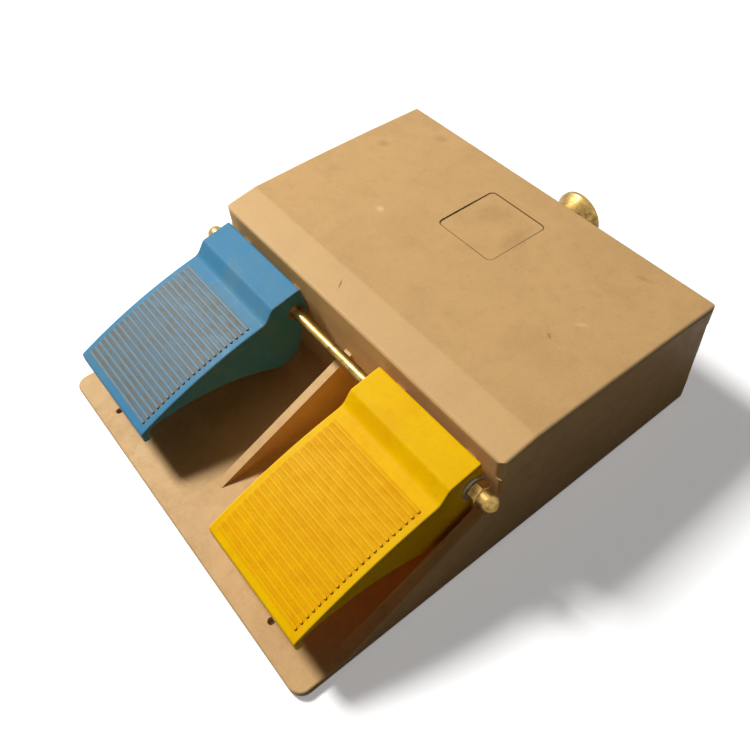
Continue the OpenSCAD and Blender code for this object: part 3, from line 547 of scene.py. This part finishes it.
@dataclass(frozen=True)
class Metal:
    """A bare or plated metal with tarnish in soft patches and fine marks from its making."""

    name: str
    bright: str
    dull: str
    surface: Surface
    patch_mm: float = 6.0
    mark_mm: float = 0.4
    roughness: float = 0.32
    tarnish_band: tuple[float, float] = (0.38, 0.66)
    gloss_spread: tuple[float, float] = (0.08, 0.16)

    def build(self) -> bpy.types.Material:
        """Makes the material.

        Returns:
            The metal.
        """
        material, tree, shader = blank_material(self.name)
        spot = put(tree, "ShaderNodeTexCoord").outputs["Object"]
        patch = put(tree, "ShaderNodeTexNoise",
                    {"Vector": spot, "Scale": 1 / (self.patch_mm * MM), "Detail": 5.0,
                     "Roughness": 0.65})
        dull = put(tree, "ShaderNodeMapRange",
                   {0: patch.outputs[0], 1: self.tarnish_band[0], 2: self.tarnish_band[1]})
        marks = put(tree, "ShaderNodeTexNoise",
                    {"Vector": spot, "Scale": 1 / (self.mark_mm * MM), "Detail": 2.0})
        colour = put(tree, "ShaderNodeMix",
                     {0: dull.outputs[0], 6: linear(self.bright), 7: linear(self.dull)},
                     data_type="RGBA")
        gloss = put(tree, "ShaderNodeMapRange",
                    {0: patch.outputs[0], 1: GLOSS_BAND[0], 2: GLOSS_BAND[1],
                     3: self.roughness - self.gloss_spread[0],
                     4: self.roughness + self.gloss_spread[1]})
        bump = put(tree, "ShaderNodeBump",
                   {"Height": marks.outputs[0], "Distance": self.surface.value * MM,
                    "Strength": 0.6})
        tree.links.new(colour.outputs[2], shader.inputs["Base Color"])
        tree.links.new(gloss.outputs[0], shader.inputs["Roughness"])
        tree.links.new(bump.outputs[0], shader.inputs["Normal"])
        shader.inputs["Metallic"].default_value = 1.0
        return material


@dataclass(frozen=True)
class Polymer:
    """A moulded rubber or plastic with a fine moulded grain and a little bloom."""

    name: str
    colour: str
    bloom: str
    grain_mm: float = 0.7
    bloom_mm: float = 14.0
    roughness: float = 0.55
    ior: float = 1.5
    bloom_band: tuple[float, float] = (0.42, 0.75)
    bloom_share: float = 0.6
    gloss_spread: tuple[float, float] = (0.06, 0.1)
    grain_depth_mm: float = 0.03

    def build(self) -> bpy.types.Material:
        """Makes the material.

        Returns:
            The polymer.
        """
        material, tree, shader = blank_material(self.name)
        spot = put(tree, "ShaderNodeTexCoord").outputs["Object"]
        bloom = put(tree, "ShaderNodeTexNoise",
                    {"Vector": spot, "Scale": 1 / (self.bloom_mm * MM), "Detail": 4.0})
        bloomed = put(tree, "ShaderNodeMapRange",
                      {0: bloom.outputs[0], 1: self.bloom_band[0], 2: self.bloom_band[1],
                       3: 0.0, 4: self.bloom_share})
        grain = put(tree, "ShaderNodeTexNoise",
                    {"Vector": spot, "Scale": 1 / (self.grain_mm * MM), "Detail": 2.0})
        colour = put(tree, "ShaderNodeMix",
                     {0: bloomed.outputs[0], 6: linear(self.colour), 7: linear(self.bloom)},
                     data_type="RGBA")
        gloss = put(tree, "ShaderNodeMapRange",
                    {0: bloom.outputs[0], 1: GLOSS_BAND[0], 2: GLOSS_BAND[1],
                     3: self.roughness - self.gloss_spread[0],
                     4: self.roughness + self.gloss_spread[1]})
        bump = put(tree, "ShaderNodeBump",
                   {"Height": grain.outputs[0], "Distance": self.grain_depth_mm * MM,
                    "Strength": 0.7})
        tree.links.new(colour.outputs[2], shader.inputs["Base Color"])
        tree.links.new(gloss.outputs[0], shader.inputs["Roughness"])
        tree.links.new(bump.outputs[0], shader.inputs["Normal"])
        shader.inputs["IOR"].default_value = self.ior
        return material


@dataclass
class Softened:
    """A casting's own shape with its arrises rounded, as sand casting and paint leave them."""

    node: str
    body: str
    name: str
    slot: str
    merge_within: float = 0.02 * MM
    flat_within: float = math.radians(0.6)
    sharp_over: float = math.radians(28)
    smooth_within: float = math.radians(40)

    def copy_node(self) -> bpy.types.Object:
        """Copies the node's mesh to a new piece, merges its points and clears flat faces.

        Returns:
            The new piece.
        """
        activate(frame["nodes"][self.node])
        bpy.ops.object.duplicate(linked=False)
        piece = bpy.context.object
        piece.name = self.name
        for key in list(piece.keys()):
            del piece[key]
        piece.parent = None
        piece.matrix_world = Matrix.Identity(4)
        bpy.ops.object.mode_set(mode="EDIT")
        bpy.ops.mesh.select_all(action="SELECT")
        bpy.ops.mesh.remove_doubles(threshold=self.merge_within)
        bpy.ops.mesh.normals_make_consistent(inside=False)
        bpy.ops.mesh.dissolve_limited(angle_limit=self.flat_within)
        bpy.ops.object.mode_set(mode="OBJECT")
        return piece

    def round_edges(self, piece: bpy.types.Object, chosen: Callable[[Vector, Vector], bool],
                    radius: float, segments: int) -> None:
        """Bevels the edges that a test chooses by their two ends.

        Args:
            piece: The piece.
            chosen: Says whether an edge with these ends is rounded.
            radius: Width of the bevel, in metres.
            segments: Steps round the bevel.
        """
        activate(piece)
        bpy.ops.object.mode_set(mode="EDIT")
        bpy.ops.mesh.select_mode(type="EDGE")
        bpy.ops.mesh.select_all(action="DESELECT")
        bpy.ops.mesh.edges_select_sharp(sharpness=self.sharp_over)
        bpy.ops.object.mode_set(mode="OBJECT")
        mesh = piece.data
        for edge in mesh.edges:
            if edge.select:
                start, end = (mesh.vertices[i].co for i in edge.vertices)
                edge.select = chosen(start, end)
        for face in mesh.polygons:
            face.select = False
        for vertex in mesh.vertices:
            vertex.select = False
        for edge in mesh.edges:
            if edge.select:
                for i in edge.vertices:
                    mesh.vertices[i].select = True
        bpy.ops.object.mode_set(mode="EDIT")
        bpy.ops.mesh.bevel(offset=radius, segments=segments, affect="EDGES",
                           clamp_overlap=False, loop_slide=True)
        bpy.ops.object.mode_set(mode="OBJECT")

    def finish(self, piece: bpy.types.Object, material: bpy.types.Material) -> None:
        """Shades, dresses and places a softened piece.

        Args:
            piece: The piece.
            material: Its finish.
        """
        activate(piece)
        bpy.ops.object.shade_smooth_by_angle(angle=self.smooth_within)
        even = piece.modifiers.new("even shading", "WEIGHTED_NORMAL")
        even.keep_sharp = True
        bpy.ops.object.modifier_apply(modifier=even.name)
        dress(piece, material)
        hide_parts(self.node)
        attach(piece, self.body)
        log.info("%s: %d faces", piece.name, len(piece.data.polygons))


@dataclass
class Housing:
    """The base casting, and the places where its edges stay as they are cast or machined."""

    enamel: bpy.types.Material
    cast_radius: float = 1.6 * MM
    round_steps: int = 3
    wall: float = 6.0 * MM
    past_wall: float = 1.1
    within_wall: float = 0.9
    lug_reach: float = 28.0 * MM
    lug_foot: float = 50.0 * MM
    underside: float = 3.0 * MM
    rim_seat: float = 3.0 * MM
    hole_x: float = 102.0 * MM
    hole_reach: float = 4.0 * MM
    hole_front: float = -170.0 * MM

    def build_base(self) -> None:
        """Rounds the base casting outside its cavity."""
        soft = Softened("base_casting", "base", "base_shell", "casting_paint")
        piece = soft.copy_node()
        low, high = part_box("lid")
        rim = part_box("base_casting")[1].z

        def outside(start: Vector, end: Vector) -> bool:
            """Chooses long edges of the plate, the cheeks, the web and the outer walls.

            Args:
                start: One end of the edge.
                end: Its other end.

            Returns:
                Whether the edge is rounded.
            """
            middle = (start + end) / 2
            inner = self.past_wall * self.wall
            in_cavity = (abs(middle.x) < high.x - inner
                         and low.y + self.within_wall * self.wall < middle.y < high.y - inner)
            at_shaft = middle.y > low.y - self.lug_reach and middle.z > self.lug_foot
            underneath = middle.z < self.underside
            in_hole = (abs(abs(middle.x) - self.hole_x) < self.hole_reach
                       and middle.y < self.hole_front)
            at_rim = middle.z > rim - self.rim_seat
            return not (in_cavity or at_shaft or underneath or in_hole or at_rim)

        soft.round_edges(piece, outside, self.cast_radius, self.round_steps)
        soft.finish(piece, self.enamel)


@dataclass
class Pedal:
    """One hollow cast pedal, with how near to its ribs and sides an edge counts as theirs."""

    colour: str
    enamel: bpy.types.Material
    ribs: RibField
    radius: float = 1.3 * MM
    rib_radius: float = 0.42 * MM
    hub: tuple[float, float] = (-47.3 * MM, 67.5 * MM)
    hub_bore: float = 8.0 * MM
    round_steps: int = 3
    rib_steps: int = 2
    rib_slack: float = 0.2 * MM
    arc_slack: float = 0.1 * MM
    side_slack: float = 0.05 * MM
    gap_share: float = 0.5
    top_share: float = 0.8
    across_share: float = 0.8

    def build(self) -> None:
        """Rounds the pedal's outline and its ribs."""
        node = self.colour + "_pedal"
        soft = Softened(node, node, self.colour + "_pedal_casting", self.colour + "_paint")
        piece = soft.copy_node()
        low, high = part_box(node)
        ribs = self.ribs

        def on_rib(point: Vector) -> bool:
            """Says whether a point belongs to a rib.

            Args:
                point: The point.

            Returns:
                Whether it lies in the ribbed field, on the tread or over it.
            """
            return (abs(point.x - ribs.middle_x) < ribs.half_width + self.rib_slack
                    and ribs.reach(point) > ribs.radius - self.arc_slack
                    and point.y < ribs.step[0] - self.gap_share * ribs.step_gap)

        def rib_top(start: Vector, end: Vector) -> bool:
            """Chooses the upper edges of the ribs.

            Args:
                start: One end of the edge.
                end: Its other end.

            Returns:
                Whether the edge is rounded.
            """
            top = ribs.radius + self.top_share * ribs.rib_height
            return (on_rib(start) and on_rib(end)
                    and ribs.reach(start) > top and ribs.reach(end) > top)

        def outline(start: Vector, end: Vector) -> bool:
            """Chooses the pedal's outer edges.

            Args:
                start: One end of the edge.
                end: Its other end.

            Returns:
                Whether the edge is rounded.
            """
            for point in (start, end):
                if on_rib(point) or math.dist(point.yz, self.hub) < self.hub_bore:
                    return False
            sides = [min(p.x - low.x, high.x - p.x) for p in (start, end)]
            across = abs(start.x - end.x) > self.across_share * (high.x - low.x)
            return max(sides) < self.side_slack or across

        soft.round_edges(piece, rib_top, self.rib_radius, self.rib_steps)
        soft.round_edges(piece, outline, self.radius, self.round_steps)
        soft.finish(piece, self.enamel)


@dataclass
class ReturnSpring:
    """One wound spring, pressed together by its plunger's collar as the pedal goes down."""

    colour: str
    finish: bpy.types.Material
    travel: float = 4.47 * MM

    def build(self) -> None:
        """Copies the spring's coils, dresses them and hangs them on the base."""
        node = self.colour + "_return_spring"
        soft = Softened(node, "base", self.colour + "_spring_coils", "spring_steel")
        piece = soft.copy_node()
        soft.finish(piece, self.finish)
        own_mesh(piece)


@dataclass
class Hardware:
    """Shaft, nuts, switch gear and gland: solids that keep their own meshes."""

    finishes: dict[str, bpy.types.Material]

    def dress_all(self, replaced: set[str]) -> None:
        """Dresses every solid that still shows, by its material slot.

        Args:
            replaced: The nodes that a softened piece stands for.
        """
        for subpart in frame["record"]["subparts"]:
            if subpart["node"] not in replaced:
                dress(frame["nodes"][subpart["node"]], self.finishes[subpart["material_slot"]])
        dress(frame["nodes"]["lid"], self.finishes["lid_paint"])


def make_finishes(ribs: dict[str, RibField]) -> dict[str, bpy.types.Material]:
    """Makes each finish once.

    Args:
        ribs: The ribbed fields of the two pedals.

    Returns:
        The materials by the record's slots.
    """
    finishes = (
        # A matt sand-coloured paint over sand casting: soft grain, old stains, arrises paler from
        # rub wear and painted highlight
        ("casting_paint", Enamel("stoved_enamel_on_sand_cast_aluminium", "dbb177", "bd9661",
                                 "94734a", "b9b2a4")),
        # The same paint where boots rest: scuffs, two dents laid darker as painted shade, a bevel
        # paler from rub wear and painted highlight, a dark line of painted shade and grime round
        # the recess
        ("lid_paint", Enamel("stoved_enamel_rubbed_on_the_lid", "d8ad73", "bf9863", "9c7a50",
                             "b9b2a4", lid_wear=LidWear())),
        # A satin blue that has dulled: grey dirt and painted shade between the ribs, pale edges
        # from rub wear and painted highlight
        ("blue_paint", Enamel("blue_stoved_enamel_on_aluminium", "468bb2", "6f929e", "746c5a",
                              "dfe4e6", roughness=0.42, sheen=0.08, rubbed_and_lit="aacbd4",
                              trodden="a29c88", ribs=ribs["blue"])),
        # A clear, satin yellow, only a little deeper in the grooves of its tread, from dirt and
        # painted shade
        ("yellow_paint", Enamel("yellow_stoved_enamel_on_aluminium", "ffc800", "f0ab04", "d89404",
                                "8a6a10", roughness=0.42, sheen=0.05, groove_shade_share=0.5,
                                rubbed_and_lit="ffda50", trodden="f2ad04", ribs=ribs["yellow"])),
        # Matt black rubber with a grey bloom, for the feet and seals
        ("black_rubber", Polymer("moulded_nitrile_rubber", "1d1c1b", "3a3835", roughness=0.7)),
        # Warm brass with brown tarnish in patches and fine lathe marks
        ("brass", Metal("turned_brass_with_tarnish", "c9a560", "7f6238", Surface.TURNED)),
        # Dull brown porous bronze, for the bushes
        ("bronze", Metal("sintered_bronze", "a87b4b", "6e4d2e", Surface.CAST, roughness=0.45)),
        # Pale grey plating with a soft shine, for screws and brackets
        ("zinc_steel", Metal("zinc_plated_steel", "c9c9c4", "8f8e88", Surface.PLATED,
                             roughness=0.3)),
        # Darker bare wire with a brighter shine, for the springs
        ("spring_steel", Metal("drawn_spring_steel", "9a9a97", "5c5b58", Surface.TURNED,
                               roughness=0.28)),
        # Smooth black switch bodies
        ("black_plastic", Polymer("moulded_phenolic", "1f1e1d", "34322f", roughness=0.4)),
        # Cream terminals, slightly yellowed
        ("cream_plastic", Polymer("moulded_nylon_cream", "d9cba4", "c4b48a", roughness=0.45)),
        # Off-white turned tappets
        ("white_nylon", Polymer("turned_white_nylon", "e6e5de", "cfcdc4", roughness=0.4)))
    return {slot: finish.build() for slot, finish in finishes}


@dataclass
class Studio:
    """A pale floor, soft light and the camera."""

    camera_place: tuple[float, float, float] = (299.2 * MM, -210.6 * MM, 467.8 * MM)
    camera_right: tuple[float, float, float] = (0.61411, 0.78625, -0.06836)
    camera_down: tuple[float, float, float] = (0.59565, -0.51857, -0.61342)
    camera_ahead: tuple[float, float, float] = (-0.51775, 0.33599, -0.7868)
    focal_px: float = 793.94
    image_px: float = 750.0
    sensor_mm: float = 36.0
    nearest: float = 0.01
    key_place: tuple[float, float, float] = (-1.57, -0.48, 2.0)
    key_aim: tuple[float, float, float] = (0.0, -0.02, 0.05)
    key_size: float = 0.56
    key_power: float = 73.0
    fill: float = 0.04
    fill_tone: str = "fff4ea"
    floor_size: float = 8.0
    floor_middle: tuple[float, float, float] = (0.0, -0.02, 0.0)
    floor_tone: str = "6a6866"
    floor_roughness: float = 0.9
    floor_glow: float = 0.3
    covered_middle: tuple[float, float, float] = (0.0, -21.0 * MM, 0.0)
    covered_half: tuple[float, float, float] = (146.0 * MM, 165.0 * MM, 1.0)

    def build_camera(self) -> None:
        """Puts the camera where the photograph was taken from."""
        camera = bpy.data.cameras.new("camera")
        camera.sensor_width = self.sensor_mm
        camera.lens = self.focal_px / self.image_px * self.sensor_mm
        camera.clip_start = self.nearest
        seat = bpy.data.objects.new("camera", camera)
        right, down, ahead = (Vector(row) for row in
                              (self.camera_right, self.camera_down, self.camera_ahead))
        turn = Matrix((right, -down, -ahead)).transposed().to_4x4()
        seat.matrix_world = Matrix.Translation(self.camera_place) @ turn
        bpy.context.scene.collection.objects.link(seat)
        bpy.context.scene.camera = seat

    def build_lights(self) -> None:
        """Hangs the key light on the left, a little in front."""
        lamp = bpy.data.lights.new("key", "AREA")
        lamp.size = self.key_size
        lamp.energy = self.key_power
        stand = bpy.data.objects.new("key", lamp)
        stand.location = self.key_place
        aim = Vector(self.key_aim) - Vector(self.key_place)
        stand.rotation_euler = aim.to_track_quat("-Z", "Y").to_euler()
        bpy.context.scene.collection.objects.link(stand)

    def build_floor(self) -> None:
        """Lays a pale floor that looks white, and stays dark where the base plate covers it."""
        deselect_all()
        bpy.ops.mesh.primitive_plane_add(size=self.floor_size, location=self.floor_middle)
        floor = bpy.context.object
        floor.name = "floor"
        material, tree, shader = blank_material("pale studio floor")
        path = put(tree, "ShaderNodeLightPath")
        seen = put(tree, "ShaderNodeMath", {0: path.outputs["Is Camera Ray"],
                                            1: path.outputs["Is Glossy Ray"]},
                   operation="MAXIMUM")
        tone = put(tree, "ShaderNodeMix",
                   {0: seen.outputs[0], 6: linear(self.floor_tone), 7: linear(WHITE)},
                   data_type="RGBA")
        tree.links.new(tone.outputs[2], shader.inputs["Base Color"])
        place = put(tree, "ShaderNodeNewGeometry").outputs["Position"]
        away = put(tree, "ShaderNodeVectorMath", {0: place, 1: self.covered_middle},
                   operation="SUBTRACT")
        away = put(tree, "ShaderNodeVectorMath", {0: away.outputs[0]}, operation="ABSOLUTE")
        away = put(tree, "ShaderNodeVectorMath", {0: away.outputs[0], 1: self.covered_half},
                   operation="SUBTRACT")
        away = put(tree, "ShaderNodeSeparateXYZ", {0: away.outputs[0]})
        away = put(tree, "ShaderNodeMath", {0: away.outputs[0], 1: away.outputs[1]},
                   operation="MAXIMUM")
        open_floor = put(tree, "ShaderNodeMath", {0: away.outputs[0], 1: 0.0},
                         operation="GREATER_THAN")
        glow = put(tree, "ShaderNodeMath", {0: path.outputs["Is Camera Ray"], 1: self.floor_glow},
                   operation="MULTIPLY")
        glow = put(tree, "ShaderNodeMath", {0: glow.outputs[0], 1: open_floor.outputs[0]},
                   operation="MULTIPLY")
        tree.links.new(glow.outputs[0], shader.inputs["Emission Strength"])
        shader.inputs["Emission Color"].default_value = linear(WHITE)
        shader.inputs["Roughness"].default_value = self.floor_roughness
        dress(floor, material)

    def build_world(self) -> None:
        """Fills the shadows a little, and shows white to the camera and in reflections."""
        world = bpy.data.worlds.new("studio")
        world.use_nodes = True
        tree = world.node_tree
        tree.nodes.clear()
        path = put(tree, "ShaderNodeLightPath")
        seen = put(tree, "ShaderNodeMath", {0: path.outputs["Is Camera Ray"],
                                            1: path.outputs["Is Glossy Ray"]},
                   operation="MAXIMUM")
        seen = put(tree, "ShaderNodeMath", {0: seen.outputs[0],
                                            1: path.outputs["Is Transmission Ray"]},
                   operation="MAXIMUM")
        plain = put(tree, "ShaderNodeBackground",
                    {"Color": linear(self.fill_tone), "Strength": self.fill})
        white = put(tree, "ShaderNodeBackground", {"Color": linear(WHITE), "Strength": 1.0})
        mix = put(tree, "ShaderNodeMixShader", {0: seen.outputs[0], 1: plain.outputs[0],
                                                2: white.outputs[0]})
        put(tree, "ShaderNodeOutputWorld", {"Surface": mix.outputs[0]})
        bpy.context.scene.world = world


def main() -> None:
    """Builds the scene in order."""
    logging.basicConfig(level=logging.INFO)
    bpy.context.scene.view_settings.view_transform = "Standard"
    studio = Studio()
    studio.build_camera()
    studio.build_lights()
    studio.build_floor()
    studio.build_world()
    ribs = {"blue": RibField(-PEDAL_X), "yellow": RibField(PEDAL_X)}
    finishes = make_finishes(ribs)
    housing = Housing(enamel=finishes["casting_paint"])
    housing.build_base()
    softened = {"base_casting"}
    for colour, ribbed in ribs.items():
        Pedal(colour, finishes[colour + "_paint"], ribbed).build()
        ReturnSpring(colour, finishes["spring_steel"]).build()
        softened |= {colour + "_pedal", colour + "_return_spring"}
    Hardware(finishes).dress_all(softened)


if __name__ == "__main__":
    main()
